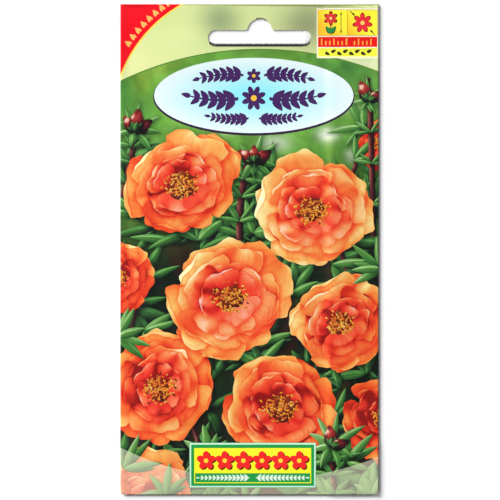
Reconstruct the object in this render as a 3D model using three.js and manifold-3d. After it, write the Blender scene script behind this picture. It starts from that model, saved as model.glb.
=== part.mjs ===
// A flat paper seed packet with a punched hang slot, lying on its back with its printed face up.
// Units are millimetres. X runs across the packet, Y up it towards the hang slot, Z out of its face.
// The origin is the middle of the footprint, on the surface that the packet lies on.
import * as THREE from 'three';
import { mergeVertices } from 'three/addons/utils/BufferGeometryUtils.js';
import Module from 'manifold-3d';

const wasm = await Module();
wasm.setup();
const { smoothstep, degToRad } = THREE.MathUtils;

// The packet's outside, and the sheet that it is folded from.
const WIDTH = 80;
const HEIGHT = 152;
const PAPER = 0.15;
const GLUE = 0.1; // every glue film, and the free gap between two layers
const LAYER = PAPER + GLUE; // from the middle of one layer of paper to the next
const FOLD_RADIUS = 0.2; // middle of the paper round a side fold
const FOLD_STEPS = 4;
const CELL = 6; // grid pitch on the open panels

// The sheet's panels: the back is two panels that lap, and the face's lower end turns up behind them.
const OUTER_EDGE = 34; // free edge of the outer back panel, which reaches over from the left fold
const INNER_EDGE = 26; // free edge of the inner back panel, which reaches in from the right fold
const BACK_END = -74.8; // lower edge of both back panels
const FLAP_EDGE = -62; // free edge of the bottom flap
const FLAP_HALF_WIDTH = 38;
const FLAP_TAPER = 3; // how far each side of the flap leans in by its free edge
const STEP_LENGTH = 5; // run over which a panel climbs onto the layer below it
const STEP_RUN = 2.5; // the same where the face climbs over the lap's edge

// The header is glued flat above the pouch.
const HEADER_BASE = 54;
const PILLOW_RISE = 1.35; // how far the filled pouch lifts the face
const SIDE_SWELL = 26; // run over which the pouch swells in from each side fold
const FOOT_SWELL = 30;
const HEADER_SWELL = 26;
const FOLD_BEAD = 2.5; // run over which the springy side fold flattens out

// The hang slot: a round-ended bar with a hump for the hook.
const SLOT_CENTRE_X = 3.1;
const SLOT_LENGTH = 32;
const SLOT_BASE = 63.3;
const SLOT_HEIGHT = 4.7;
const HUMP_RADIUS = 3.8;
const HUMP_CENTRE_Y = 67.75;
const HUMP_FILLET = 0.8;

// The inner sachet of seed, sealed flat all round.
const SACHET = { width: 52, height: 70, x: -7, y: -18, turn: degToRad(4) };
const WEB = 0.12; // thickness of each sachet web
const SEAL = 5; // width of the flat seal
const SACHET_RISE = 0.95; // how far the front web is lifted inside its seal
const SACHET_SWELL = 14;

// The seed lies in a low heap on the sachet's back web.
const HEAP = { halfWidth: 11, halfHeight: 8, rise: 0.42, x: -6, y: -28, sides: 28 };
const GRAIN = { length: 0.55, width: 0.45, height: 0.32, count: 60 };
const SEED_OF_SCATTER = 20260;

const COLOURS = { print: 0xf27a3c, glue: 0xe9e4d2, web: 0xf4f1e8, seed: 0x2b2724 };

// Swell from 0 at an edge to 1 well inside it, with a definite slope at the edge.
const swell = (distance, run) => 1 - (1 - THREE.MathUtils.clamp(distance / run, 0, 1)) ** 2.5;

// Even stations from one value to another, no further apart than the given step.
function stations(from, to, step) {
  const count = Math.max(1, Math.ceil(Math.abs(to - from) / step));
  return Array.from({ length: count + 1 }, (_, i) => from + ((to - from) * i) / count);
}

// Stations through several corners, each corner kept once.
function stationsThrough(corners, step) {
  const list = [corners[0]];
  for (let i = 1; i < corners.length; i += 1) {
    list.push(...stations(corners[i - 1], corners[i], step).slice(1));
  }
  return list;
}

// Heights of the middle of the paper.
const outerPanelZ = (y) => PAPER / 2 + LAYER * (1 - smoothstep(y, FLAP_EDGE, FLAP_EDGE + STEP_LENGTH));
const innerPanelZ = (y) => outerPanelZ(y) + LAYER;

const FOLD_X = WIDTH / 2 - PAPER / 2 - FOLD_RADIUS; // where the flat panels meet the side folds
const FOOT_Y = -(HEIGHT / 2 - PAPER / 2 - FOLD_RADIUS); // where the face meets the bottom fold

function pillow(x, y) {
  const fromSides = swell(FOLD_X - Math.abs(x), SIDE_SWELL);
  const fromFoot = swell(y - FOOT_Y, FOOT_SWELL);
  return PILLOW_RISE * fromSides * fromFoot * (1 - smoothstep(y, HEADER_BASE - HEADER_SWELL, HEADER_BASE));
}

function faceZ(x, y) {
  const overLap = smoothstep(x, INNER_EDGE - STEP_RUN - 0.5, INNER_EDGE - 0.5);
  const bead = (2 * FOLD_RADIUS - LAYER) * (1 - smoothstep(FOLD_X - Math.abs(x), 0, FOLD_BEAD));
  return outerPanelZ(y) + LAYER * (1 + overLap) + bead + pillow(x, y);
}

// Points round a half fold from the lower tangent to the upper one, the two ends left out.
// side is the way that the fold bulges, +1 or -1, along the axis that it is measured on.
function halfFold(edge, side, bottom, top) {
  const points = [];
  for (let i = 1; i < FOLD_STEPS; i += 1) {
    const angle = (Math.PI * i) / FOLD_STEPS;
    const reach = edge + side * FOLD_RADIUS * Math.sin(angle);
    points.push([reach, (bottom + top) / 2 - ((top - bottom) / 2) * Math.cos(angle)]);
  }
  return points;
}

const FACE_X = stationsThrough(
  [-FOLD_X, -FLAP_HALF_WIDTH, -FOLD_X + FOLD_BEAD, -34, INNER_EDGE - STEP_RUN - 0.5, INNER_EDGE - 0.5,
    FOLD_X - FOLD_BEAD, FLAP_HALF_WIDTH, FOLD_X],
  CELL,
);
const BACK_Y = stationsThrough(
  [BACK_END, FLAP_EDGE, FLAP_EDGE + STEP_LENGTH / 2, FLAP_EDGE + STEP_LENGTH,
    HEADER_BASE - HEADER_SWELL, HEADER_BASE, SLOT_BASE, HEIGHT / 2],
  CELL,
);

// One row of the wrapped sheet: outer back panel, left fold, face, right fold, inner back panel.
function wrappedRow(y) {
  const outer = stations(OUTER_EDGE, -FOLD_X, 3 * CELL).map((x) => [x, outerPanelZ(y)]);
  const left = halfFold(-FOLD_X, -1, outerPanelZ(y), faceZ(-FOLD_X, y));
  const face = FACE_X.map((x) => [x, faceZ(x, y)]);
  const right = halfFold(FOLD_X, 1, innerPanelZ(y), faceZ(FOLD_X, y)).reverse();
  const inner = stations(FOLD_X, INNER_EDGE, 3 * CELL).map((x) => [x, innerPanelZ(y)]);
  return [...outer, ...left, ...face, ...right, ...inner].map(([x, z]) => new THREE.Vector3(x, y, z));
}

// The face below the back panels, down to where the bottom fold starts.
const footRow = (y) => FACE_X.map((x) => new THREE.Vector3(x, y, faceZ(x, y)));

// The bottom fold and the flap behind the back panels, narrower than the face.
function flapRows() {
  const columns = FACE_X.filter((x) => Math.abs(x) <= FLAP_HALF_WIDTH);
  const flapZ = PAPER / 2;
  const start = columns.map((x) => new THREE.Vector3(x, FOOT_Y, faceZ(x, FOOT_Y)));
  const fold = [];
  for (let i = 1; i < FOLD_STEPS; i += 1) {
    fold.push(columns.map((x) => {
      const [y, z] = halfFold(FOOT_Y, -1, flapZ, faceZ(x, FOOT_Y)).reverse()[i - 1];
      return new THREE.Vector3(x, y, z);
    }));
  }
  const flap = stations(FOOT_Y, FLAP_EDGE, CELL).map((y) => {
    const lean = 1 - (FLAP_TAPER / FLAP_HALF_WIDTH) * ((y - FOOT_Y) / (FLAP_EDGE - FOOT_Y));
    return columns.map((x) => new THREE.Vector3(x * lean, y, flapZ));
  });
  return [start, ...fold, ...flap];
}

// Two triangles for each cell between neighbouring rows, as a list of vertex positions.
function gridTriangles(rows) {
  const positions = [];
  for (let j = 1; j < rows.length; j += 1) {
    for (let i = 1; i < rows[j].length; i += 1) {
      const [a, b, c, d] = [rows[j - 1][i - 1], rows[j - 1][i], rows[j][i], rows[j][i - 1]];
      [a, b, c, a, c, d].forEach((p) => positions.push(p.x, p.y, p.z));
    }
  }
  return positions;
}

// Gives a surface of triangles a thickness, half to each side, and walls round its free edges.
function thicken(positions, thickness) {
  const surface = new THREE.BufferGeometry();
  surface.setAttribute('position', new THREE.Float32BufferAttribute(positions, 3));
  const welded = mergeVertices(surface, 1e-4);
  welded.computeVertexNormals();
  const { position, normal } = welded.attributes;
  const index = Array.from(welded.index.array);
  const count = position.count;
  const points = [];
  [0.5, -0.5].forEach((side) => {
    for (let i = 0; i < count; i += 1) {
      points.push(position.getX(i) + side * thickness * normal.getX(i));
      points.push(position.getY(i) + side * thickness * normal.getY(i));
      points.push(position.getZ(i) + side * thickness * normal.getZ(i));
    }
  });
  const edges = new Map();
  const triangles = [];
  for (let t = 0; t < index.length; t += 3) {
    const [a, b, c] = index.slice(t, t + 3);
    triangles.push(a, b, c, c + count, b + count, a + count);
    [[a, b], [b, c], [c, a]].forEach(([p, q]) => {
      const twin = `${q},${p}`;
      if (edges.has(twin)) edges.delete(twin);
      else edges.set(`${p},${q}`, [p, q]);
    });
  }
  edges.forEach(([p, q]) => triangles.push(q, p, p + count, q, p + count, q + count));
  const solid = new THREE.BufferGeometry();
  solid.setAttribute('position', new THREE.Float32BufferAttribute(points, 3));
  solid.setIndex(triangles);
  return solid;
}

// A geometry as a solid that can be cut and joined, and back.
function toSolid(geometry) {
  const bare = geometry.clone();
  bare.deleteAttribute('normal');
  bare.deleteAttribute('uv');
  const merged = mergeVertices(bare, 1e-4);
  const vertProperties = new Float32Array(merged.attributes.position.array);
  const triVerts = new Uint32Array(merged.index.array);
  return new wasm.Manifold(new wasm.Mesh({ numProp: 3, vertProperties, triVerts }));
}

function toGeometry(solid) {
  const { vertProperties, triVerts } = solid.getMesh();
  const geometry = new THREE.BufferGeometry();
  geometry.setAttribute('position', new THREE.Float32BufferAttribute(vertProperties, 3));
  geometry.setIndex(Array.from(triVerts));
  return geometry;
}

// The hang slot's outline, widened by a margin, as a prism well past both faces of the packet.
function slotPrism(margin = 0) {
  const endRadius = SLOT_HEIGHT / 2 + margin;
  const endX = SLOT_LENGTH / 2 - SLOT_HEIGHT / 2;
  const middleY = SLOT_BASE + SLOT_HEIGHT / 2;
  const topY = middleY + endRadius;
  const hump = HUMP_RADIUS + margin;
  const filletY = topY + HUMP_FILLET;
  const filletX = Math.sqrt((hump + HUMP_FILLET) ** 2 - (filletY - HUMP_CENTRE_Y) ** 2);
  const filletAngle = Math.atan2(filletY - HUMP_CENTRE_Y, filletX);
  const outline = new THREE.Shape();
  outline.moveTo(-endX, topY);
  outline.absarc(-endX, middleY, endRadius, Math.PI / 2, (3 * Math.PI) / 2, false);
  outline.absarc(endX, middleY, endRadius, -Math.PI / 2, Math.PI / 2, false);
  outline.absarc(filletX, filletY, HUMP_FILLET, -Math.PI / 2, -Math.PI + filletAngle, true);
  outline.absarc(0, HUMP_CENTRE_Y, hump, filletAngle, Math.PI - filletAngle, false);
  outline.absarc(-filletX, filletY, HUMP_FILLET, -filletAngle, -Math.PI / 2, true);
  outline.closePath();
  const prism = new THREE.ExtrudeGeometry(outline, { depth: 8, bevelEnabled: false, curveSegments: 10 });
  return toSolid(prism.translate(SLOT_CENTRE_X, 0, -3));
}

function makeEnvelope() {
  const footRows = [...stationsThrough([FOOT_Y, BACK_END], CELL).map(footRow)];
  const positions = [
    ...gridTriangles(BACK_Y.map(wrappedRow)),
    ...gridTriangles(footRows),
    ...gridTriangles(flapRows().reverse()),
  ];
  return toGeometry(toSolid(thicken(positions, PAPER)).subtract(slotPrism()));
}

// A glue film is a flat plate between two flat layers.
function glueFilm(x0, x1, y0, y1, z) {
  const film = new THREE.BoxGeometry(x1 - x0, y1 - y0, GLUE);
  return film.translate((x0 + x1) / 2, (y0 + y1) / 2, z + GLUE / 2);
}

function makeHeaderGlue() {
  const edge = 3; // dry margin along the side fold
  const film = glueFilm(-WIDTH / 2 + edge, INNER_EDGE - STEP_RUN - 0.5, HEADER_BASE + 2, HEIGHT / 2 - 1, PAPER);
  return toGeometry(toSolid(film).subtract(slotPrism(0.6)));
}

const makeLapGlue = () => (
  glueFilm(INNER_EDGE + 1.5, FOLD_X - 3, HEADER_BASE + 2, HEIGHT / 2 - 1, LAYER + PAPER)
);

const makeSeamGlue = () => (
  glueFilm(INNER_EDGE + 1, OUTER_EDGE - 1, FLAP_EDGE + STEP_LENGTH + 1, HEIGHT / 2 - 1, PAPER)
);

const makeFlapGlue = () => glueFilm(-34, OUTER_EDGE - 1, BACK_END + 1.5, FLAP_EDGE - 1, PAPER);

// Sachet pieces are made round their own centre, then turned and set in place.
const placeInSachet = (geometry) => geometry.rotateZ(SACHET.turn).translate(SACHET.x, SACHET.y, 0);

function makeBackWeb() {
  const web = new THREE.BoxGeometry(SACHET.width, SACHET.height, WEB);
  return placeInSachet(web.translate(0, 0, PAPER + WEB / 2));
}

function makeFrontWeb() {
  const halfWidth = SACHET.width / 2;
  const halfHeight = SACHET.height / 2;
  const spread = (half) => stationsThrough(
    [-half, -half + SEAL, -half + SEAL + SACHET_SWELL, half - SEAL - SACHET_SWELL, half - SEAL, half],
    CELL,
  );
  const lift = (x, y) => (
    SACHET_RISE * smoothstep(halfWidth - SEAL - Math.abs(x), 0, SACHET_SWELL)
      * smoothstep(halfHeight - SEAL - Math.abs(y), 0, SACHET_SWELL)
  );
  const rows = spread(halfHeight).map((y) => (
    spread(halfWidth).map((x) => new THREE.Vector3(x, y, PAPER + WEB + WEB / 2 + lift(x, y)))
  ));
  return placeInSachet(thicken(gridTriangles(rows), WEB));
}

// Repeatable pseudo-random numbers from 0 to 1.
function makeScatter(seed) {
  let state = seed;
  return () => {
    state = (state * 1664525 + 1013904223) % 4294967296;
    return state / 4294967296;
  };
}

function makeSeeds() {
  const profile = [[0, 0], [1, 0], [0.9, 0.35], [0.68, 0.72], [0.36, 0.94], [0, 1]];
  const core = new THREE.LatheGeometry(
    profile.map(([r, h]) => new THREE.Vector2(r * HEAP.halfHeight, h * HEAP.rise)),
    HEAP.sides,
  );
  core.rotateX(Math.PI / 2).scale(HEAP.halfWidth / HEAP.halfHeight, 1, 1);
  const random = makeScatter(SEED_OF_SCATTER);
  let heap = toSolid(core);
  for (let i = 0; i < GRAIN.count; i += 1) {
    const reach = Math.sqrt((i + 0.5) / GRAIN.count) * 0.88;
    const angle = i * 2.39996 + 0.4 * random();
    const grain = new THREE.IcosahedronGeometry(1, 0).scale(GRAIN.length, GRAIN.width, GRAIN.height);
    grain.rotateZ(2 * Math.PI * random());
    grain.translate(
      HEAP.halfWidth * reach * Math.cos(angle),
      HEAP.halfHeight * reach * Math.sin(angle),
      GRAIN.height * 0.8 + HEAP.rise * (1 - reach ** 2) * (0.6 + 0.3 * random()),
    );
    heap = heap.add(toSolid(grain));
  }
  return toGeometry(heap).translate(HEAP.x, HEAP.y, PAPER + WEB);
}

const packet = new THREE.Group();

function addPiece(name, geometry, color, roughness) {
  const mesh = new THREE.Mesh(geometry, new THREE.MeshStandardMaterial({ color, roughness, metalness: 0 }));
  mesh.name = name;
  packet.add(mesh);
}

addPiece('paper_envelope', makeEnvelope(), COLOURS.print, 0.35);
addPiece('back_seam_glue', makeSeamGlue(), COLOURS.glue, 0.5);
addPiece('bottom_flap_glue', makeFlapGlue(), COLOURS.glue, 0.5);
addPiece('header_glue', makeHeaderGlue(), COLOURS.glue, 0.5);
addPiece('lap_glue', makeLapGlue(), COLOURS.glue, 0.5);
addPiece('sachet_back_web', makeBackWeb(), COLOURS.web, 0.6);
addPiece('sachet_front_web', makeFrontWeb(), COLOURS.web, 0.6);
addPiece('seeds', makeSeeds(), COLOURS.seed, 0.7);

export default packet;
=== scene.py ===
import math

import bpy
import numpy as np
from mathutils.geometry import delaunay_2d_cdt
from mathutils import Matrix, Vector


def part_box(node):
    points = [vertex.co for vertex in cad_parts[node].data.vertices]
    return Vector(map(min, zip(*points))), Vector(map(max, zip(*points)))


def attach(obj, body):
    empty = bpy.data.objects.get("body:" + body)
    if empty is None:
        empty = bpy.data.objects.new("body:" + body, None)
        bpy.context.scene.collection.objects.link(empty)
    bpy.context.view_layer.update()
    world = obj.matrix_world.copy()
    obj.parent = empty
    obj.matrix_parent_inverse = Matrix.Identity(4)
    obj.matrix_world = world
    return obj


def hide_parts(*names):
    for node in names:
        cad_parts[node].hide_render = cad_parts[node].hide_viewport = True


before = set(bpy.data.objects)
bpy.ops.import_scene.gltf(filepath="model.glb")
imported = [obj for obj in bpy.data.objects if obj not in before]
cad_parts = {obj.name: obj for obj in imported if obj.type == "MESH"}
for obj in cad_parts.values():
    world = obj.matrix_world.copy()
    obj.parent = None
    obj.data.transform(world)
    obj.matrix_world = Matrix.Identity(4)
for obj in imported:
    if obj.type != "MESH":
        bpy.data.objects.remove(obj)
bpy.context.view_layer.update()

mm = 0.001  # the sheet and its print are laid out in millimetres


def linear(hexColour):
    # sRGB hex to linear light
    parts = [int(hexColour[i:i + 2], 16) / 255 for i in (1, 3, 5)]
    return np.array([c / 12.92 if c <= 0.04045 else ((c + 0.055) / 1.055) ** 2.4 for c in parts])


def smooth(value, low, high):
    t = np.clip((value - low) / (high - low), 0, 1)
    return t * t * (3 - 2 * t)


def blend(a, b, amount):
    return a + (b - a) * np.asarray(amount)[..., None]


def coords(*axes):
    # points from their separate x, y and z
    return np.stack(axes, axis=-1)


def ramp(stops, t):
    # colour at t along a list of (place, hex) stops
    places, colours = zip(*stops)
    return coords(*(np.interp(t, places, part) for part in np.array([linear(c) for c in colours]).T))


def around(count):
    # evenly spaced angles, once round
    return np.linspace(0, 2 * math.pi, num=count, endpoint=False)


def ray(angle):
    return np.array((math.cos(angle), math.sin(angle)))


def unit(vectors):
    return vectors / np.linalg.norm(vectors, axis=-1, keepdims=True)


def turned(angle):
    return np.array(((math.cos(angle), -math.sin(angle)), (math.sin(angle), math.cos(angle))))


def laid(outline, at, angle):
    # an outline turned about the origin and then moved into place
    return outline @ turned(angle).T + at


def plug(tree, node, sockets):
    # set a node's sockets, each to a value or to another node's output
    for name, value in sockets.items():
        if isinstance(value, bpy.types.NodeSocket):
            tree.links.new(value, node.inputs[name])
        else:
            node.inputs[name].default_value = value


def addNode(tree, kind, sockets, output=0, **settings):
    # one shader node, given back as the output that is wanted of it
    node = tree.nodes.new("ShaderNode" + kind)
    for name, value in settings.items():
        setattr(node, name, value)
    plug(tree, node, sockets)
    return node.outputs[output]


def newMaterial(name):
    material = bpy.data.materials.new(name)
    material.use_nodes = True
    return material, material.node_tree, material.node_tree.nodes["Principled BSDF"]


def addObject(name, data):
    added = bpy.data.objects.new(name, data)
    bpy.context.collection.objects.link(added)
    return added


# camera: square above the packet, from far enough off to flatten the view
view = {"lens": 250.0, "sensor": 36.0, "acrossFrame": 154.8, "packetAt": (249.6, 249.6), "frameSide": 500}


def addCamera():
    pixel = view["acrossFrame"] / view["frameSide"]
    offsetX = (view["frameSide"] / 2 - view["packetAt"][0]) * pixel
    offsetY = (view["packetAt"][1] - view["frameSide"] / 2) * pixel
    data = bpy.data.cameras.new("camera")
    data.lens = view["lens"]
    data.sensor_width = view["sensor"]
    data.clip_end = 20
    camera = addObject("camera", data)
    distance = view["lens"] / view["sensor"] * view["acrossFrame"]
    camera.location = (offsetX * mm, offsetY * mm, (distance + 0.5) * mm)
    bpy.context.scene.camera = camera


# table and light: a white table in a ring of soft light, strongest at the upper left, with a dark
# ceiling, so that the print keeps its blacks, and one wide lamp from the upper left
studio = {
    "tableColour": "#FFFFFF",
    "ringNear": 0.9,
    "ringFar": 0.18,
    "ceilingStrength": 0.1,
    "lampStrength": 4.4,
    "lampAcross": 38.0,  # degrees, so that its shadows are soft
    "lampHeight": 29.0,  # degrees above the table
    "lampFrom": 135.0,  # degrees round from +X
}


def addTableTop():
    material, tree, shader = newMaterial("whiteTable")
    plug(tree, shader, {"Base Color": (*linear(studio["tableColour"]), 1), "Roughness": 0.9,
                        "Specular IOR Level": 0.0})
    bpy.ops.mesh.primitive_plane_add(size=6, location=(0, 0, -0.00002))
    table = bpy.context.object
    table.name = "table_top"
    table.data.materials.append(material)


def addStudio():
    world = bpy.data.worlds.new("studio")
    bpy.context.scene.world = world
    world.use_nodes = True
    tree = world.node_tree
    way = addNode(tree, "TexCoord", {}, "Generated")
    height = addNode(tree, "SeparateXYZ", {"Vector": way}, "Z")
    towards = addNode(tree, "VectorMath", {0: way, 1: (*ray(math.radians(studio["lampFrom"])), 0)}, "Value",
                      operation="DOT_PRODUCT")
    ring = addNode(tree, "MapRange", {"Value": towards, "From Min": -1.0, "To Min": studio["ringFar"],
                                      "To Max": studio["ringNear"]})
    strength = addNode(tree, "MapRange", {"Value": height, "From Min": 0.7, "From Max": 0.86, "To Min": ring,
                                          "To Max": studio["ceilingStrength"]})
    plug(tree, tree.nodes["Background"], {"Color": (1, 1, 1, 1), "Strength": strength})
    lamp = bpy.data.lights.new("lamp", "SUN")
    lamp.energy = studio["lampStrength"]
    lamp.angle = math.radians(studio["lampAcross"])
    addObject("lamp", lamp).rotation_euler = (
        math.radians(90 - studio["lampHeight"]), 0, math.radians(studio["lampFrom"] + 90))
    bpy.context.scene.view_settings.view_transform = "Standard"


addCamera()
addTableTop()
addStudio()
print("stage: camera, table and light")

# the folded sheet: the face in the middle, a wide back panel folded round from the left and a narrow
# one from the right, which laps inside it, and a flap turned up behind from the foot
low, high = (np.array(corner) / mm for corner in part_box("paper_envelope"))
sheet = {
    "halfWidth": (high[0] - low[0]) / 2, "halfHeight": (high[1] - low[1]) / 2, "paper": 0.15, "glue": 0.1,
    "foldRadius": 0.2, "foldBead": 2.5, "outerEdge": 34.0, "innerEdge": 26.0, "backEnd": -74.8,
    "flapEdge": -62.0, "flapHalfWidth": 38.0, "flapTaper": 3.0, "flapCorner": 2.0, "stepLength": 5.0,
    "stepRun": 2.5, "headerBase": 54.0, "pillowRise": 1.2, "sideSwell": 26.0, "footSwell": 30.0,
    "headerSwell": 26.0}
layer = sheet["paper"] + sheet["glue"]
foldX = sheet["halfWidth"] - sheet["paper"] / 2 - sheet["foldRadius"]
footY = -(sheet["halfHeight"] - sheet["paper"] / 2 - sheet["foldRadius"])
foldArc = math.pi * sheet["foldRadius"]
bleed = foldX + foldArc + 1.6  # how far the printed picture runs on round the side folds
blankLeft = -(2 * foldX + foldArc) - sheet["outerEdge"]
blankRight = foldX + foldArc + foldX - sheet["innerEdge"]
blankFoot = footY - foldArc - (sheet["flapEdge"] - footY)

sachet = {"width": 52.0, "height": 70.0, "at": (-7.0, -18.0), "turn": math.radians(4), "web": 0.12,
          "seal": 5.0, "rise": 0.95, "swell": 14.0, "crimp": 0.03, "crimpPitch": 1.6, "cell": 0.8}


def outerLevel(y):
    start = sheet["flapEdge"]
    return sheet["paper"] / 2 + layer * (1 - smooth(y, start, start + sheet["stepLength"]))


def swell(distance, run):
    return 1 - (1 - np.clip(distance / run, 0, 1)) ** 2.5


def pillow(x, y):
    rise = sheet["pillowRise"] * swell(foldX - np.abs(x), sheet["sideSwell"])
    rise = rise * swell(y - footY, sheet["footSwell"])
    return rise * (1 - smooth(y, sheet["headerBase"] - sheet["headerSwell"], sheet["headerBase"]))


def sachetMark(x, y):
    # the sachet's cut edge shows through the paper as a soft step, the seed as a low mound
    dx, dy = x - sachet["at"][0], y - sachet["at"][1]
    across, along = np.abs(turned(-sachet["turn"]) @ (dx, dy))
    edge = smooth(sachet["width"] / 2 - across, -0.8, 1.4) * smooth(sachet["height"] / 2 - along, -0.8, 1.4)
    return 0.1 * edge + 0.05 * np.exp(-(dx ** 2 / 160 + (dy + 9) ** 2 / 110))


def paperWaves(x, y):
    # slow waves that thin paper always has, with a few slant ones from handling
    waves = ((0.03, 0.11, 0.05, 0.4), (0.024, -0.07, 0.16, 1.9), (0.014, 0.23, 0.12, 2.7),
             (0.01, 0.31, -0.26, 5.1))
    total = sum(size * np.sin(kx * x + ky * y + phase) for size, kx, ky, phase in waves)
    return total - sum(wave[0] for wave in waves)


def faceLevel(x, y):
    # middle of the paper over the packet's face
    overLap = smooth(x, sheet["innerEdge"] - sheet["stepRun"] - 0.5, sheet["innerEdge"] - 0.5)
    bead = 2 * sheet["foldRadius"] - layer
    bead = bead * (1 - smooth(foldX - np.abs(x), 0, sheet["foldBead"]))
    lifted = pillow(x, y)
    loose = smooth(lifted, 0.15, 0.7) * (paperWaves(x, y) + sachetMark(x, y))
    return outerLevel(y) + layer * (1 + overLap) + bead + lifted + loose


def foldedMiddle(s, y):
    # where a point of the flat blank (s across, y up) lies in the folded packet
    radius = sheet["foldRadius"]
    x = np.clip(s, -foldX, foldX)
    upY = np.maximum(y, footY)
    z = faceLevel(x, upY)
    outer = outerLevel(upY)
    for side, back in ((-1, outer), (1, outer + layer)):
        past = side * s - foldX
        turn = np.clip(past / foldArc, 0, 1) * math.pi
        beyond = np.maximum(past - foldArc, 0)
        x = np.where(past > 0, side * (foldX + radius * np.sin(turn) - beyond), x)
        z = np.where(past > 0, back + radius + radius * np.cos(turn), z)
    past = footY - y
    turn = np.clip(past / foldArc, 0, 1) * math.pi
    flapLevel = sheet["paper"] / 2
    z = np.where(past > 0, (z + flapLevel) / 2 + (z - flapLevel) / 2 * np.cos(turn), z)
    newY = np.where(past > 0, footY - radius * np.sin(turn) + np.maximum(past - foldArc, 0), y)
    return coords(x, newY, z)


def foldedSurface(blank, side):
    # the sheet's outer (+1) or inner (-1) surface, half the paper's thickness off its middle
    s, y = blank.T
    step = 0.01
    alongS = foldedMiddle(s + step, y) - foldedMiddle(s - step, y)
    alongY = foldedMiddle(s, y + step) - foldedMiddle(s, y - step)
    return foldedMiddle(s, y) + side * sheet["paper"] / 2 * unit(np.cross(alongS, alongY))


# hang slot: a round-ended bar with a hump, punched through both layers; the punch has pushed a lip of
# the back layer up past the front layer's lower edge and right end
slot = {"centreX": 3.1, "length": 32.0, "base": 63.3, "height": 4.7, "humpRadius": 3.8, "humpY": 67.75,
        "fillet": 0.8, "ragged": 0.05, "lip": 0.6, "endLip": 1.75}


def arcPoints(cx, cy, radius, start, end, count):
    return [(cx, cy) + radius * ray(angle) for angle in np.radians(np.linspace(start, end, count))]


def levelPoints(start, end, y, count):
    # points along a level line, without its ends
    return [(x, y) for x in np.linspace(start, end, count)[1:-1]]


def slotOutline():
    radius = slot["height"] / 2
    endX = slot["length"] / 2 - radius
    middle = slot["base"] + radius
    top = middle + radius
    hump, fillet = slot["humpRadius"], slot["fillet"]
    rise = top + fillet - slot["humpY"]
    filletX = math.sqrt((hump + fillet) ** 2 - rise ** 2)
    angle = math.degrees(math.atan2(rise, filletX))
    points = np.array(
        arcPoints(-endX, middle, radius, 90, 270, 19) + levelPoints(-endX, endX, middle - radius, 36)
        + arcPoints(endX, middle, radius, -90, 90, 19) + levelPoints(endX, filletX, top, 12)
        + arcPoints(filletX, top + fillet, fillet, -90, -180 + angle, 5)
        + arcPoints(0, slot["humpY"], hump, angle, 180 - angle, 23)[1:-1]
        + arcPoints(-filletX, top + fillet, fillet, -angle, -90, 5) + levelPoints(-filletX, -endX, top, 12))
    # a worn punch leaves a slightly furry edge
    i = np.arange(len(points))
    furry = slot["ragged"] * (np.sin(3.1 * i) + 0.7 * np.sin(1.7 * i + 2))
    return points + unit(points - (0, middle)) * furry[:, None] + (slot["centreX"], 0)


def withLip(outline, share=1.0):
    # the back layer's edge of the same hole
    middle = slot["base"] + slot["height"] / 2
    rightEnd = slot["centreX"] + slot["length"] / 2
    lipped = outline.copy()
    lipped[:, 1] += share * slot["lip"] * smooth(middle - outline[:, 1], 0.0, slot["height"] / 2)
    lipped[:, 0] -= share * slot["endLip"] * smooth(outline[:, 0], rightEnd - 2.35, rightEnd)
    return lipped


def mirrored(outline):
    # an outline on the face, where it falls on the outer back panel of the blank
    return coords(-(2 * foldX + foldArc) - outline[:, 0], outline[:, 1])


# the print: every printed shape is an outline cut into the sheet, the later ones on top
inks = {"flat": 0, "petal": 1, "leaf": 2, "garden": 3}
printed = []
pictureLight = np.array((-0.5, 0.6, 0.62))  # the light in the picture falls from its upper left


def plainPlace(shape, spots):
    return spots.T


def addShape(outline, paint, ink="flat", place=plainPlace, casts=0.0, lift=0.45, soft=0.9, **facts):
    # casts, lift and soft say how dark, how far off and how blurred a shape's printed shadow falls
    printed.append({"outline": np.array(outline, dtype=float), "paint": paint, "ink": inks[ink],
                    "place": place, "casts": casts, "lift": lift, "soft": soft, **facts})


def plain(colour):
    value = linear(colour)
    return lambda shape, spots, shade: np.repeat(value[None], len(spots), axis=0)


def addBox(x0, x1, y0, y1, colour):
    addShape(rectangle(x0, x1, y0, y1), plain(colour))


def localPlace(shape, spots):
    return (spots - shape["at"]) @ np.linalg.inv(shape["frame"]).T


def facing(shape, slopeAlong, slopeAcross):
    # how squarely a petal or leaf faces the light, from its slopes along and across its length
    axes = shape["frame"] / np.linalg.norm(shape["frame"], axis=0)
    alongLight, acrossLight = axes.T @ pictureLight[:2]
    tilt = slopeAlong * alongLight + slopeAcross * acrossLight
    return (pictureLight[2] - tilt) / np.sqrt(1 + slopeAlong ** 2 + slopeAcross ** 2)


# petals, from their deepest shade to their highlights
petalTones = ((0.0, "#900F0A"), (0.14, "#DA2A19"), (0.32, "#F24B29"), (0.52, "#F6783F"), (0.72, "#F9A162"),
              (0.9, "#FCC89A"), (1.12, "#FEEDD8"))
petalKinds = {"peach": 0.09, "orange": 0.0, "ember": -0.08, "flame": -0.15}


def petalWidth(v):
    return 2 * np.sqrt(np.clip(v * (1 - v), 0, 1)) * (1 - 0.42 * (1 - 2 * v))


def petalPlace(shape, spots):
    local = localPlace(shape, spots)
    v = np.clip(local[:, 0] / shape["length"], 0, 1)
    halfWidth = shape["width"] / 2 * np.maximum(petalWidth(v), 0.15)
    return np.clip(local[:, 1] / halfWidth, -1.2, 1.2), v


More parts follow.
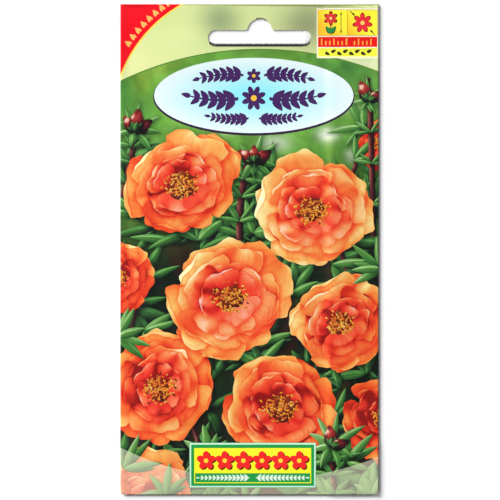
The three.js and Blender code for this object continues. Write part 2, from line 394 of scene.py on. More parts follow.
def paintPetal(shape, spots, shade):
    u, v = petalPlace(shape, spots)
    wave = shape["waves"] * u + shape["phase"] + 1.5 * v
    slopeAcross = shape["ruffle"] * shape["waves"] * v ** 1.5 * np.cos(wave) + 0.3 * u
    slopeAlong = shape["cup"] * (1.3 - v) - 0.65 * smooth(v, 0.72, 1.0)
    t = shape["tone"] + 0.16 + 0.6 * facing(shape, slopeAlong, slopeAcross)
    t += (0.28 - 0.12 * shape["outer"]) * (v - 0.6) + 0.06 * v * np.sin(wave) + shape.get("curled", 0)
    t += 0.06 * smooth(np.maximum(np.abs(u) * v, v), 0.86, 1.0)
    # the outer petals are yellower, the inner ones nearer to coral
    tint = 1 + np.outer(shape["outer"] + 0.5 * (v - 0.5), (0.0, 0.21, -0.14))
    return ramp(petalTones, t - 0.46 * (1 - shade)) * tint * (1 - np.outer(1 - shade, (0.03, 0.3, 0.24)))


def petalEdge(facts, turns):
    v = 0.5 - 0.5 * np.cos(turns)
    phase = facts["phase"]
    wobble = v ** 1.5 * (np.sin(3 * turns + phase) + 0.8 * np.sin(7 * turns + 2 * phase)
                         + 0.5 * np.sin(13 * turns + 3 * phase))
    notch = facts["notch"] * np.exp(-((turns - math.pi) / 0.3) ** 2)
    along = facts["length"] * (v * (1 + 0.035 * wobble) - notch)
    across = facts["width"] / 2 * np.sin(turns) * (1 - 0.3 * np.cos(turns)) * (1 + 0.05 * wobble)
    return coords(along, across)


def addPetal(at, frameOf, length, width, tone, cup, ruffle, outer, rng):
    facts = dict(at=at, frame=frameOf, length=length, width=width, tone=tone, cup=cup, ruffle=ruffle,
                 phase=rng.uniform(0, 2 * math.pi), waves=rng.uniform(2.6, 5.6), notch=rng.uniform(0, 0.1),
                 outer=outer)
    spread = around(34)
    outline = at + petalEdge(facts, spread + 0.45 * np.sin(spread)) @ frameOf.T
    lift = 1.1 if outer == 1 else 0.6
    addShape(outline, paintPetal, "petal", petalPlace, 0.48, lift, 1.1 + 0.7 * lift, **facts)
    if rng.random() < 0.5:
        # part of the tip rolls back over the petal as a paler lip
        middle, half = math.pi + rng.uniform(-0.7, 0.7), rng.uniform(0.35, 0.75)
        edge = petalEdge(facts, np.linspace(middle - half, middle + half, 9))
        thick = length * rng.uniform(0.08, 0.16) * np.sin(np.linspace(0, math.pi, 9))
        inner = edge + unit((length * 0.35, 0) - edge) * thick[:, None]
        lip = np.concatenate([edge, inner[-2:0:-1]])
        addShape(at + lip @ frameOf.T, paintPetal, "petal", petalPlace, 0.45, 0.25, 0.6,
                 **{**facts, "curled": 0.1, "cup": cup - 0.5})


def paintDot(shape, spots, shade):
    # a small rounded body, lit on the upper left
    away = (spots - shape["at"]) / shape["size"]
    lit = 0.5 + 0.6 * np.clip(away @ pictureLight[:2], -1, 1)
    return blend(linear(shape["dark"]), linear(shape["light"]), np.clip(lit, 0, 1) * shade)


def addDot(at, size, dark, light, count, stretch=1.0, turn=0.0):
    ring = ellipse(0, 0, size * stretch, size / stretch, count)
    addShape(laid(ring, at, turn), paintDot, at=at, size=size, dark=dark, light=light)


# each ring of a blossom: petals, where they start and reach, width, how steeply they cup, how they ruffle,
# how light they are and how yellow
blossomRings = ((7, 0.32, 1.02, 0.98, 0.0, 0.12, 0.08, 1.0), (6, 0.26, 0.84, 0.9, 0.15, 0.16, 0.0, 0.5),
                (6, 0.18, 0.66, 0.68, 0.4, 0.22, -0.08, -0.3), (5, 0.13, 0.47, 0.5, 0.7, 0.26, -0.15, -1.1))

stamenTones = (("#C0620E", "#FFB83C"), ("#B04C10", "#FFA030"), ("#B4600F", "#FFD068"), ("#3A0E08", "#86300F"),
               ("#A43812", "#FF8A34"))
heartTones = ("#3A0808", "#962E12")
goldenAngle = 2.39996  # its turns fill a disc evenly


def addBlossom(at, radius, kind, squash, lean, seed):
    rng = np.random.default_rng(seed)
    at = np.array(at, dtype=float)
    squashing = turned(lean) @ np.diag((1, squash)) @ turned(-lean)
    for count, start, reach, width, cup, ruffle, light, outer in blossomRings:
        first = rng.uniform(0, 2 * math.pi)
        for k in rng.permutation(count):
            frameOf = squashing @ turned(first + 2 * math.pi * k / count + rng.uniform(-0.32, 0.32))
            length = radius * (reach * rng.uniform(0.84, 1.08) - start)
            tone = petalKinds[kind] + light + rng.uniform(-0.15, 0.15)
            across = radius * width * rng.uniform(0.8, 1.2)
            base = at + radius * start * frameOf[:, 0]
            addPetal(base, frameOf, length, across, tone, cup, ruffle, outer, rng)
    # the eye: a loose brush of stamens over a dark, uneven heart
    eye = 0.22 * radius
    addDot(at, 0.8 * eye, *heartTones, 16)
    for k in range(5):
        addDot(at + eye * rng.uniform(-0.45, 0.45, 2), eye * rng.uniform(0.5, 0.8), *heartTones, 16)
    for i in range(150):
        away = eye * 1.45 * ((i + 0.5) / 150) ** 0.6 * rng.uniform(0.75, 1.15)
        angle = goldenAngle * i + rng.uniform(-0.5, 0.5)
        place = at + squashing @ (away * math.cos(angle), 0.85 * away * math.sin(angle))
        tones = stamenTones[rng.integers(len(stamenTones))]
        addDot(place, rng.uniform(0.26, 0.5), *tones, 6, 1.5, rng.uniform(0, math.pi))


# leaves, from their deepest shade to their highlights
leafTones = ((0.0, "#040F07"), (0.14, "#153118"), (0.3, "#2E622C"), (0.48, "#4A8739"), (0.64, "#68A04C"),
             (0.82, "#98BF80"), (1.05, "#D4E6C6"))


def leafWidth(v):
    return np.sin(math.pi * np.clip(v, 0, 1) ** 0.8) ** 0.8


def litSide(shape):
    return np.sign(shape["frame"][:, 1] @ pictureLight[:2])


def leafPlace(shape, spots):
    # across a leaf from its shaded edge to its lit one, and along it
    local = localPlace(shape, spots)
    v = local[:, 0] / shape["length"]
    middle = shape["bend"] * shape["length"] * v ** 2
    halfWidth = shape["width"] / 2 * np.maximum(leafWidth(v), 0.18)
    return litSide(shape) * np.clip((local[:, 1] - middle) / halfWidth, -1.2, 1.2), np.clip(v, 0, 1)


def paintLeaf(shape, spots, shade):
    u, v = leafPlace(shape, spots)
    t = shape["tone"] + 0.04 + 0.62 * facing(shape, 0.35 - 0.9 * v, -0.75 * u * litSide(shape))
    return ramp(leafTones, t - 0.42 * (1 - shade))


def addLeaf(at, angle, length, width, bend, tone, rng):
    v = np.linspace(0, 1, 12)
    middle = bend * length * v ** 2
    half = width / 2 * leafWidth(v)
    outline = np.concatenate([coords(length * v, middle + half), coords(length * v, middle - half)[-2:0:-1]])
    addShape(laid(outline, at, angle), paintLeaf, "leaf", leafPlace, 0.48, 0.6, 1.1, at=at,
             frame=turned(angle), length=length, width=width, bend=bend, tone=tone, phase=rng.uniform(0, 9))


def paintStem(shape, spots, shade):
    nearest = np.argmin(np.linalg.norm(spots[:, None] - shape["path"][None], axis=2), axis=1)
    normal = shape["side"][nearest]
    across = np.sum((spots - shape["path"][nearest]) * normal, axis=1) * np.sign(normal @ pictureLight[:2])
    lit = smooth(across / shape["width"], -0.35, 0.45)
    return ramp(((0, "#16060A"), (0.5, "#4A1A20"), (0.85, "#7E3A38"), (1, "#A06052")), lit * shade)


def ribbon(path, half):
    return np.concatenate([path + half, (path - half)[::-1]])


def addStem(at, heading, length, bend, width):
    count = 14
    angles = heading + bend * np.linspace(0, 1, count)
    steps = coords(np.cos(angles), np.sin(angles)) * (length / (count - 1))
    path = at + np.concatenate([[(0, 0)], np.cumsum(steps[:-1], axis=0)])
    side = coords(-np.sin(angles), np.cos(angles))
    addShape(ribbon(path, side * width / 2), paintStem, casts=0.4, path=path, side=side, width=width)
    return path, angles


def addTuft(at, heading, spread, count, length, width, tone, rng):
    # narrow leaves that fan out from one joint of a stem
    for k in rng.permutation(count):
        lean = spread * (k / max(count - 1, 1) - 0.5) + rng.uniform(-0.2, 0.2)
        size = rng.uniform(0.75, 1.15) * (1 - 0.18 * abs(lean))
        addLeaf(at, heading + lean, length * size, width * rng.uniform(0.85, 1.2),
                0.22 * lean * rng.uniform(0.3, 1), tone + rng.uniform(-0.08, 0.08), rng)


# buds, from their deepest plum to their gleam
budTones = ((0.0, "#16040A"), (0.3, "#46101A"), (0.52, "#861C20"), (0.72, "#B83A30"), (0.88, "#DC7A62"),
            (1.0, "#F8D2BC"))


def paintBud(shape, spots, shade):
    # an egg lit from the upper left
    along, across = (((spots - shape["at"]) @ turned(shape["angle"])) / shape["half"]).T
    away = np.clip(np.hypot(along, across), 0, 0.98)
    normal = unit(coords(*((spots - shape["at"]) / shape["half"].mean()).T, np.sqrt(1 - away ** 2)))
    lit = np.clip(normal @ unit(pictureLight), 0, 1)
    return ramp(budTones, shape["tone"] + 0.62 * lit + 0.5 * smooth(lit, 0.9, 1.0) - 0.4 * (1 - shade))


def addBud(at, angle, size, rng):
    # an unopened bud: folded petals, deep red, out of a dark calyx
    ahead = size * ray(angle)
    middle = at + 0.7 * ahead
    half = np.array((1.3, 0.85)) * size
    turns = around(26)
    for tone, lean, shrink in ((0.06, 0, 1.0), (-0.04, 0.42, 0.86), (0.14, -0.42, 0.78)):
        # the tip is drawn out to a blunt point
        along = half[0] * shrink * (np.cos(turns) + 0.25 * np.maximum(np.cos(turns), 0) ** 6)
        across = shrink * np.sin(turns) * (1 - 0.2 * np.cos(turns)) + 3 * lean * (1 - shrink)
        addShape(laid(coords(along, half[1] * across), middle, angle), paintBud, casts=0.35, lift=0.2,
                 soft=0.5, at=middle, angle=angle, half=half, tone=tone)
    for lean in (-1.0, 0.9, -0.1):
        addLeaf(at - 0.45 * ahead, angle + lean, 1.15 * size, 0.75 * size, -0.5 * lean, -0.16, rng)


def addWhorl(at, heading, length, tone, stem, buds, rng):
    # a shoot: a red stem with paired leaves, a ring of leaves at its top, and its buds
    path, angles = addStem(*stem)
    for k in (3, 7, 10):
        for lean in (1.1, -1.1):
            addTuft(path[k], angles[k] + lean, 0.7, 2, 0.75 * length, 0.15 * length, tone - 0.06, rng)
    addTuft(at, heading, 5.4, 9, length, 0.18 * length, tone, rng)
    for lean, size in buds:
        addBud(at + 0.5 * size * ray(heading + lean), heading + lean, size, rng)


# the picture's blossoms: middle, radius, kind, squash and its lean, seed, the later ones in front
blossoms = (
    ((-42, -9), 13, "flame", 0.9, 0.4, 51), ((42.5, -52), 15, "flame", 0.9, -0.5, 52),
    ((41, 33), 9, "flame", 0.8, 0.9, 59), ((28, -23), 15.5, "orange", 0.9, 0.8, 53),
    ((-33, -80), 19, "orange", 0.85, 0.7, 60),
    ((-21, 20), 18, "orange", 0.9, 0.3, 54), ((19.5, 12), 19, "peach", 0.92, -0.3, 55),
    ((-28, -43), 17.5, "ember", 0.92, 1.1, 56), ((-6, -15), 19.5, "peach", 0.94, 0.2, 57),
    ((9.5, -49), 18.5, "ember", 0.92, -0.6, 58))

# what the oval label and the plate hide (a middle and halves, and a box), and how far out leaves stand
hidden = {"oval": (1.3, 47.7, 30, 11), "plate": (-17, 19, -72, -61)}
leafReach = 42


def openPlace(at, margin):
    # whether a point lies clear of the blossoms' middles, the oval and the plate
    (cx, cy, rx, ry), (x0, x1, y0, y1) = hidden["oval"], hidden["plate"]
    inOval = ((at[0] - cx) / rx) ** 2 + ((at[1] - cy) / ry) ** 2 < 1
    inPlate = x0 < at[0] < x1 and y0 < at[1] < y1
    clear = all(math.dist(at, spot) > margin * radius for spot, radius, *_ in blossoms)
    return clear and not inOval and not inPlate


def scatterTufts(count, lowY, highY, margin, length, width, tone, seed):
    rng = np.random.default_rng(seed)
    placed = 0
    while placed < count:
        at = (rng.uniform(-leafReach, leafReach), rng.uniform(lowY, highY))
        if not openPlace(at, margin):
            continue
        heading = rng.normal(math.pi / 2, 1.3)
        # the picture darkens towards the pale band at its foot
        low = 0.14 * smooth(-at[1], 15, 55) * (1 - smooth(-at[1], 62, 70))
        addTuft(at, heading, rng.uniform(1.2, 2.6), rng.integers(3, 6), length, width, tone - low, rng)
        placed += 1


# the picture's ground: an out-of-focus garden, fresh green above and deep green below
garden = {"blobs": 80, "seed": 77, "tints": ("#8CC060", "#4F8E3C", "#1F5226", "#A3C45C", "#2D6A30")}
gardenPatches = (
    (-39, 47, 7, 9, "#3F7A33", 0.8), (-38, 58, 7, 4, "#2E5A2C", 0.8), (-27, 60, 8, 5, "#8FB83A", 0.8),
    (24, 62, 9, 4, "#6EAB44", 0.7), (8, 33, 5, 2.5, "#D8E2CC", 0.7), (31, 56, 7, 5, "#41803A", 0.75),
    (24, 35.5, 3.4, 2.4, "#F0F4E2", 0.9), (30, 44, 5, 2.4, "#A9BF92", 0.6),
    (32, 29, 2.6, 2.2, "#DDE8CC", 0.8), (-31, 31, 3.5, 2.5, "#B4D488", 0.6),
    (-7, 36.5, 4, 1.6, "#C6DCA4", 0.6), (-36, 40, 8, 9, "#559640", 0.7),
    (-12, 34, 8, 3, "#7FB04E", 0.6), (36, 50, 5, 8, "#4C7F3C", 0.7), (4, 61, 17, 3.5, "#5E9038", 0.8),
    (-33, 53, 3.5, 6, "#8BAF3E", 0.7), (-41, 52, 3.5, 3, "#2E6A30", 0.8))


def paintGarden(shape, spots, shade):
    x, y = spots.T
    height = smooth(y + 4 * np.sin(0.13 * x), -8, 44)
    stalks = smooth(np.sin(0.27 * x + 1.4 * np.sin(0.11 * y + 1)), 0.0, 0.7)
    deep = blend(linear("#0A1A10")[None], linear("#2A0B0B")[None], 0.85 * stalks)
    colour = blend(deep, linear("#67A43C"), height)
    colour = blend(colour, linear("#38241F"), 0.8 * smooth(-y + 3 * np.sin(0.3 * x), 48, 70))
    rng = np.random.default_rng(garden["seed"])
    patches = [(rng.uniform(-42, 42), rng.uniform(-76, 64), rng.uniform(4, 11), rng.uniform(1.6, 4),
                garden["tints"][rng.integers(len(garden["tints"]))], 0.42) for _ in range(garden["blobs"])]
    for i, (bx, by, rx, ry, tint, amount) in enumerate(patches + list(gardenPatches)):
        angle = 2.4 * i if i < garden["blobs"] else 0.0
        across, along = ((spots - (bx, by)) @ turned(angle)).T
        strength = amount * np.exp(-1.4 * ((across / rx) ** 2 + (along / ry) ** 2))
        colour = blend(colour, linear(tint), strength * (0.2 + 0.8 * height))
    return colour * shade[:, None]


def rectangle(x0, x1, y0, y1):
    return [(x0, y0), (x1, y0), (x1, y1), (x0, y1)]


def ellipse(cx, cy, rx, ry, count):
    angles = around(count)
    return coords(cx + rx * np.cos(angles), cy + ry * np.sin(angles))


def addPicture():
    addShape(rectangle(-bleed, bleed, footY - foldArc - 2, sheet["halfHeight"] + 2), paintGarden, "garden")
    rng = np.random.default_rng(5)
    scatterTufts(46, -80, 22, 0.6, 17, 3.2, -0.05, 61)
    for stem in (((30, 18), 1.2, 36, 0.4), ((-38, -28), 1.2, 22, 0.5), ((30, -6), 1.9, 16, -0.4),
                 ((14, -24), 2.3, 14, 0.3), ((-14, -66), 1.8, 20, 0.3)):
        addStem(*stem, 1.5)
    scatterTufts(30, -78, 16, 0.72, 15, 2.7, 0.08, 62)
    for blossom in blossoms[:5]:
        addBlossom(*blossom)
    for tuft in (((35.5, 38), 2.7, 2.2, 4, 12, 2.3, 0.12), ((32.5, 28), 0.3, 2.2, 4, 11, 2.3, 0.06),
                 ((-39, 27), 0.6, 2.0, 4, 13, 2.4, 0.1), ((1, 5), 1.2, 2.6, 5, 13, 2.8, 0.08)):
        addTuft(*tuft, rng)
    for shoot in (((-35.5, 36.5), 1.3, 11, 0.12, ((-39.5, 16), 1.3, 21, 0.15, 1.9),
                   ((-0.7, 2.3), (0.9, 2.1), (0.1, 2.6))),
                  ((1.5, 27), 1.5, 11, 0.1, ((-3, 3), 1.6, 24.5, -0.3, 2.2),
                   ((1.0, 2.2), (-0.9, 2.3), (0.1, 1.9))),
                  ((37, 46), 1.7, 8, 0.14, ((38.5, 4), 1.6, 42, 0, 1.8), ((0.3, 2.4), (-1.1, 1.9)))):
        addWhorl(*shoot, rng)
    for blossom in blossoms[5:]:
        addBlossom(*blossom)
    for tuft in (((-41, -27), 0.3, 2.0, 5, 12, 2.6, 0.14), ((41, -6), 2.8, 1.9, 5, 12, 2.6, 0.1),
                 ((-12, -65), 2.0, 2.4, 5, 12, 2.6, 0.1), ((30, -66), 1.2, 2.6, 6, 13, 2.6, 0.1),
                 ((-39, -68), 0.8, 1.6, 5, 12, 2.4, 0.1), ((38, -76), 1.9, 1.6, 4, 10, 2.4, 0.1),
                 ((-26, -76), 1.6, 2.6, 5, 10, 2.2, 0.1), ((24, -78), 1.5, 2.0, 5, 9, 2.2, 0.1),
                 ((-1, -79), 1.5, 2.6, 5, 8, 2.2, 0.1)):
        addTuft(*tuft, rng)
    addWhorl((25.5, -61), 1.2, 12, 0.14, ((27, -80), 1.7, 19, -0.1, 1.8), ((0.5, 2.4), (-0.9, 2.0)), rng)


# the two arcs that bound the picture: their centres and radii
arcs = {"top": ((3.2, -37.5), 99.7), "foot": ((3.1, 27.5), 98.7)}
printEdge = bleed + 1
printTop = sheet["halfHeight"] + 2


def beyondArc(name, up, far):
    # the part of the print beyond one of the arcs, above it (+1) or below it (-1)
    (cx, cy), radius = arcs[name]
    start = math.degrees(math.acos((printEdge - cx) / radius))
    end = 180 - math.degrees(math.acos((printEdge + cx) / radius))
    arc = arcPoints(cx, cy, radius, up * start, up * end, 80)
    return np.array(arc + [(-printEdge, far), (printEdge, far)])


def paintBand(shape, spots, shade):
    x, y = spots.T
    colour = np.repeat(linear("#E3F0A4")[None], len(spots), axis=0)
    for bx, by, rx, ry, tint, amount in (
            (-9, 71, 7, 7, "#98AA79", 0.95), (18, 70, 10.5, 9, "#8C956E", 0.92),
            (5, 76, 9, 4, "#CBDD98", 0.6), (-36, 58, 8, 8, "#F2F7AE", 0.8), (34, 57, 9, 4, "#DCE6BC", 0.8),
            (-28, 71, 7, 6, "#D8E898", 0.8), (-24, 66, 9, 4, "#EBF6AC", 0.6), (0, 63, 20, 2, "#D3E2A0", 0.4)):
        colour = blend(colour, linear(tint), amount * np.exp(-((x - bx) / rx) ** 2 - ((y - by) / ry) ** 2))
    # a shape may darken the band here, as painted shade
    return colour * shape.get("worn", 1)


def addBand():
    outline = beyondArc("top", 1, printTop)
    addShape(outline - (0, 0.4), plain("#5A8A36"))
    addShape(outline, paintBand)
    # a strip of painted shade along the top edge, where the band is darkened
    addShape(rectangle(-printEdge, printEdge, sheet["halfHeight"] - 0.3, printTop), paintBand, worn=0.6)


def veiled(colour):
    # a thin white tint over the foot of the picture, mixed as the eye would
    return (0.46 * colour ** (1 / 2.2) + 0.54 * np.array((1.0, 0.97, 0.87))) ** 2.2


# the corner flash, the oval label, the small table and the plate: plain colours and garden ornament
flash = {"centre": (-0.25, 39.0), "radius": 42.0, "rim": 0.55, "red": "#FC061F", "yellow": "#FFE65A",
         "leaf": "#FFC268"}
oval = {"centre": (1.3, 47.6), "half": (30.85, 11.67), "ink": "#2E1636", "edge": "#E9F9FA",
        "middle": "#88EDF7", "vine": "#42205E"}


def addTeardrop(at, angle, length, width, colour):
    turns = around(14)
    along = length * (0.5 - 0.5 * np.cos(turns))
    across = width / 2 * np.sin(turns) * (1 + 0.45 * np.cos(turns))
    addShape(laid(coords(along, across), at, angle), plain(colour))


def addFlash():
    cx, cy = flash["centre"]
    for grow, colour in ((0, flash["yellow"]), (flash["rim"], flash["red"])):
        radius = flash["radius"] + grow
        start = math.degrees(math.asin((printTop - cy) / radius))
        points = arcPoints(cx, cy, radius, 180 - start, 178, 40)
        addShape(points + [(-printEdge, points[-1][1]), (-printEdge, printTop)], plain(colour))
    # a close row of small leaves along the flash
    for i in range(15):
        angle = math.radians(124.5 + 1.62 * i)
        at = (cx, cy) + (flash["radius"] + 1.9) * ray(angle)
        addTeardrop(at, angle + (0.35 if i % 2 else -0.35), 2.3, 0.85, flash["leaf"])


def paintOval(shape, spots, shade):
    away = np.linalg.norm((spots - oval["centre"]) / oval["half"], axis=1)
    return blend(linear(oval["middle"]), linear(oval["edge"]), np.clip(away * 1.08 - 0.04, 0, 1) ** 1.25)


def addBranch(start, end, bow, leaf, pitch, width, colour):
    # a bowed stem with pairs of leaves that lean towards its tip
    start, way = np.array(start), np.subtract(end, start)
    length, heading = np.linalg.norm(way), math.atan2(way[1], way[0])
    side = np.array((-way[1], way[0])) / length
    t = np.linspace(0, 1, max(8, int(length)))
    path = start + np.outer(t, way) + np.outer(4 * bow * t * (1 - t), side)
    addShape(ribbon(path, np.outer(width * (0.5 - 0.3 * t), side)), plain(colour))
    count = round(length / pitch)
    for k in range(count + 1):
        at = (k + 0.5) / (count + 0.5)
        place = start + at * way + 4 * bow * at * (1 - at) * side
        lean = heading + math.atan(4 * bow * (1 - 2 * at) / length)
        size = leaf * (1 - 0.35 * at)
        for turn in ((-0.8, 0.8) if k < count else (0,)):
            addTeardrop(place, lean + turn, size, size * 0.5, colour)


def addFlowerHead(cx, cy, petals, reach, colour, heart, first=math.pi / 2):
    for k in range(petals):
        angle = first + 2 * math.pi * k / petals
        petal = ellipse(0, 0, reach * 0.42, min(reach * 0.42, reach * 1.75 / petals), 14)
        addShape(laid(petal, (cx, cy) + reach * 0.58 * ray(angle), angle), plain(colour))
    for size, tone, count in ((0.4, colour, 14), (0.24, heart, 12)):
        addShape(ellipse(cx, cy, reach * size, reach * size, count), plain(tone))


def addOval():
    cx, cy = oval["centre"]
    rx, ry = oval["half"]
    addShape(ellipse(cx, cy - 0.27, rx + 0.33, ry + 0.39, 110), plain(oval["ink"]))
    addShape(ellipse(cx, cy + 0.11, rx, ry, 110), paintOval)
    for side in (-1, 1):
        for startX, startY, endX, endY, bow, leaf, pitch, width in (
                (3.2, 6.4, 16.8, 5.4, 0.7, 3.6, 2.3, 0.8), (4.8, -0.9, 19.6, -0.1, -0.8, 4.6, 2.7, 1.1),
                (1.6, -7.0, 13.6, -6.4, -0.5, 2.8, 1.8, 0.7)):
            addBranch((cx + startX * side, cy + startY), (cx + endX * side, cy + endY), side * bow, leaf,
                      pitch, width, oval["vine"])
    addFlowerHead(cx, cy + 6.2, 6, 2.3, oval["vine"], "#F4C63A")
    addFlowerHead(cx, cy - 0.7, 8, 3.9, oval["vine"], "#F4C63A", 0.39)


table = {"x": (20.8, 39.8), "y": (59.3, 74.7), "inside": (21.2, 39.5), "split": (30.19, 30.35),
         "cells": (66.3, 74.15), "strip": (62.75, 65.85), "foot": (59.75, 62.4)}


def paintCell(shape, spots, shade):
    t = (spots[:, 0] - shape["x0"]) / 9.5 + 0.35 * (spots[:, 1] - 70.4) / 4
    return blend(linear("#FFC02C"), linear("#FFF63A"), smooth(t + shape["glow"], -0.1, 0.9))


def addArrow(start, end, width, tips, colour):
    start, end = np.array(start), np.array(end)
    way = unit(end - start)
    side = np.array((-way[1], way[0])) * width / 2
    addShape([start + side, start - side, end - side, end + side], plain(colour))
    for tip, back in ((end, -way), (start, way))[:tips]:
        addShape([tip, tip + back * 0.9 + side * 3.2, tip + back * 0.9 - side * 3.2], plain(colour))


def addTable():
    addBox(*table["x"], *table["y"], "#FDF8DC")
    left, right = table["inside"]
    before, after = table["split"]
    foot, top = table["cells"]
    for glow, x0, x1 in ((0.05, left, before), (0.35, after, right)):
        addBox(x0 - 0.12, x1 + 0.12, foot - 0.12, top + 0.12, "#B98428")
        addShape(rectangle(x0, x1, foot, top), paintCell, x0=x0, glow=glow)
    addBox(left, right, *table["strip"], "#EB1208")
    addBox(before, after, *table["strip"], "#D98A2C")
    addBox(left, right, *table["foot"], "#F5F646")
    addBox(25.0, 25.3, 66.6, 71.3, "#1E3A18")
    for size, colour in ((0.0, "#0D3A1C"), (0.3, "#1C8A3E")):
        for angle in (0.95, math.pi - 0.95):
            addTeardrop((25.15, 67.0 + 0.6 * size), angle, 2.6 - size, 1.5 - size, colour)
    addFlowerHead(25.15, 71.6, 6, 2.3, "#6E1C16", "#F6E0A0")
    addFlowerHead(25.15, 71.6, 6, 1.9, "#DC332C", "#F3C890")
    addArrow((28.3, 66.9), (28.3, 73.6), 0.2, 2, "#4A4018")
    addFlowerHead(34.95, 70.2, 7, 3.2, "#8E1E1C", "#F8D070")
    addFlowerHead(34.95, 70.2, 7, 2.85, "#EE2A33", "#F8D070")
    addArrow((31.2, 73.8), (32.6, 72.4), 0.26, 1, "#2E2A12")
    addArrow((38.7, 66.6), (37.3, 68.0), 0.26, 1, "#2E2A12")
    for k in range(13):
        if k != 7:
            x = 22.1 + 1.27 * k
            addBox(x, x + 0.42, 63.3, 65.3 if k % 3 == 0 else 64.6, "#FFB04A")
    for k in range(8):
        addTeardrop((23.4 + 1.85 * k, 61.05), 0.5 if k % 2 else -0.5, 1.7, 0.95, "#33300F")


plate = {"x": (-18.55, 20.45), "y": (-73.6, -59.83), "mint": "#D4FBE2", "green": "#1F9F4B",
         "yellow": "#FFFF2C", "red": "#FF2A28", "shadow": "#3A0D08", "motifs": 6}


def addPlate():
    x0, x1 = plate["x"]
    y0, y1 = plate["y"]
    for inset, below, above, colour in (
            (-0.14, -0.14, -0.14, "#2F8F50"), (0, 0, 0, plate["mint"]), (0.48, 0.48, 0.48, plate["green"]),
            (1.4, 1.3, 1.55, plate["yellow"])):
        addBox(x0 + inset, x1 - inset, y0 + below, y1 - above, colour)
    addBox(x0 + 1.7, x1 - 1.7, y0 + 1.6, y0 + 4.4, plate["green"])
    # a row of bold red flowers with dark shadows, and a pale vine below it
    middle = (y0 + 4.4 + y1 - 1.55) / 2
    pitch = (x1 - x0 - 4.4) / plate["motifs"]
    for k in range(plate["motifs"]):
        cx = x0 + 2.2 + pitch * (k + 0.5)
        addFlowerHead(cx + 0.35, middle - 0.3, 5, 3.0, plate["shadow"], plate["shadow"])
        addFlowerHead(cx, middle, 5, 3.0, plate["red"], "#FFE23A")
    half = (x0 + x1) / 2
    for side in (-1, 1):
        addBranch((half + side, y0 + 3.0), (half + 16.6 * side, y0 + 3.0), 0, 1.5, 1.3, 0.36, "#E8FDEC")


# painted shade along the slot's rim, from its foot up to its middle height
rimShadeTones = ((-1.0, "#20221E"), (-0.65, "#33342D"), (-0.3, "#8A8576"), (0.1, "#CEC8BC"), (0.6, "#F2F1EC"))


def rimHeight(y):
    return (y - slot["base"]) / (slot["height"] / 2) - 1


def paintRimShade(shape, spots, shade):
    # painted shade: dark along the slot's lower rim, fading into a pale green halo on the face
    gap = edgeDistance(spots, slotOutline())
    return blend(ramp(rimShadeTones, rimHeight(spots[:, 1])), linear("#BDC79F"), smooth(gap, 0.3, 0.66))


def addSlotRimShadeAndMark():
    # painted shade along the slot's lower edge and round the lower halves of its ends, and a dark mark along
    # the top right of the hump
    radius = slot["height"] / 2
    endX = slot["length"] / 2 - radius
    cx, middle = slot["centreX"], slot["base"] + radius
    inner, outer = [], []
    for side, start, end in ((-1, 200, 270), (1, 270, 340)):
        for angle in np.radians(np.linspace(start, end, 12)):
            way = ray(angle)
            grown = 0.66 * smooth(-way[1], 0.35, 0.9)
            inner.append(way * (radius - 0.4) + (cx + side * endX, middle))
            outer.append(way * (radius + grown - 0.1) + (cx + side * endX, middle))
    addShape(inner + outer[::-1], paintRimShade)
    hump, humpY = slot["humpRadius"], slot["humpY"]
    humpMark = arcPoints(cx, humpY, hump - 0.3, 50, 110, 9) + arcPoints(cx, humpY, hump + 0.25, 106, 54, 9)
    addShape(humpMark, plain("#5A5F48"))


def paintLipShade(spots):
    # the back layer's pushed-up lip, with painted shade: dark along the front layer's edge and pale at its
    # free edge
    gap = -edgeDistance(spots, mirrored(slotOutline()))
    return blend(ramp(rimShadeTones, rimHeight(spots[:, 1])), linear("#F2F2F0"), smooth(gap, 0.1, 0.9) ** 1.3)


# the back: a pale ground with a white panel, bare of words
back = {"ground": "#EAF3D2", "panel": "#FBFCF6", "rule": "#5FA548", "leaf": "#79B45C", "line": "#C9DDB0"}


def addBack():
    foot = blankFoot - 2
    for box in ((blankLeft - 2, -bleed, foot, printTop), (bleed, blankRight + 2, foot, printTop),
                (-bleed, bleed, foot, footY - foldArc - 2)):
        addBox(*box, back["ground"])
    x0, x1 = blankLeft + 8, -bleed - 6
    for inset, colour in ((0, back["rule"]), (0.5, back["panel"])):
        addBox(x0 + inset, x1 - inset, -56 + inset, 40 - inset, colour)
    half = (x0 + x1) / 2
    for side in (-1, 1):
        addBranch((half, 50), (half + 26 * side, 50), 1.6 * side, 4.6, 3.4, 0.8, back["leaf"])
    for y in range(30, -54, -12):
        addBox(x0 + 5, x1 - 5, y - 0.15, y + 0.15, back["line"])
        addTeardrop((x0 + 5, y + 2.5), 0.5, 4.0, 2.0, back["leaf"])


addPicture()
# a thin white tint over the foot of the picture
addShape(beyondArc("foot", -1, footY - foldArc - 3), None, veil=True)
addBand()
addFlash()
addOval()
addTable()
addPlate()
addSlotRimShadeAndMark()
addBack()
print("stage: print laid out,", len(printed), "shapes")


# the sheet's loose points: boxes and the spacing in them, finest under the picture
headerLine = 62
upright = (sheet["backEnd"], sheet["halfHeight"])
flapCells = (-sheet["flapHalfWidth"], sheet["flapHalfWidth"], blankFoot, footY, 2.5)
outsideCells = ((-bleed, bleed, footY, headerLine, 0.78), (-bleed, bleed, headerLine, upright[1], 1.2),
                (blankLeft, -bleed, *upright, 3.0), (bleed, blankRight, *upright, 3.0), flapCells)
insideCells = ((blankLeft, blankRight, *upright, 2.2), flapCells)


def hexPoints(fields):
    # rows of points in an even triangle grid
    rowRise = 0.866
    points = []
    for x0, x1, y0, y1, spacing in fields:
        for row, y in enumerate(np.arange(y0, y1, spacing * rowRise)):
            points += [(x, y) for x in np.arange(x0 + row % 2 * spacing / 2, x1, spacing)]
    return points


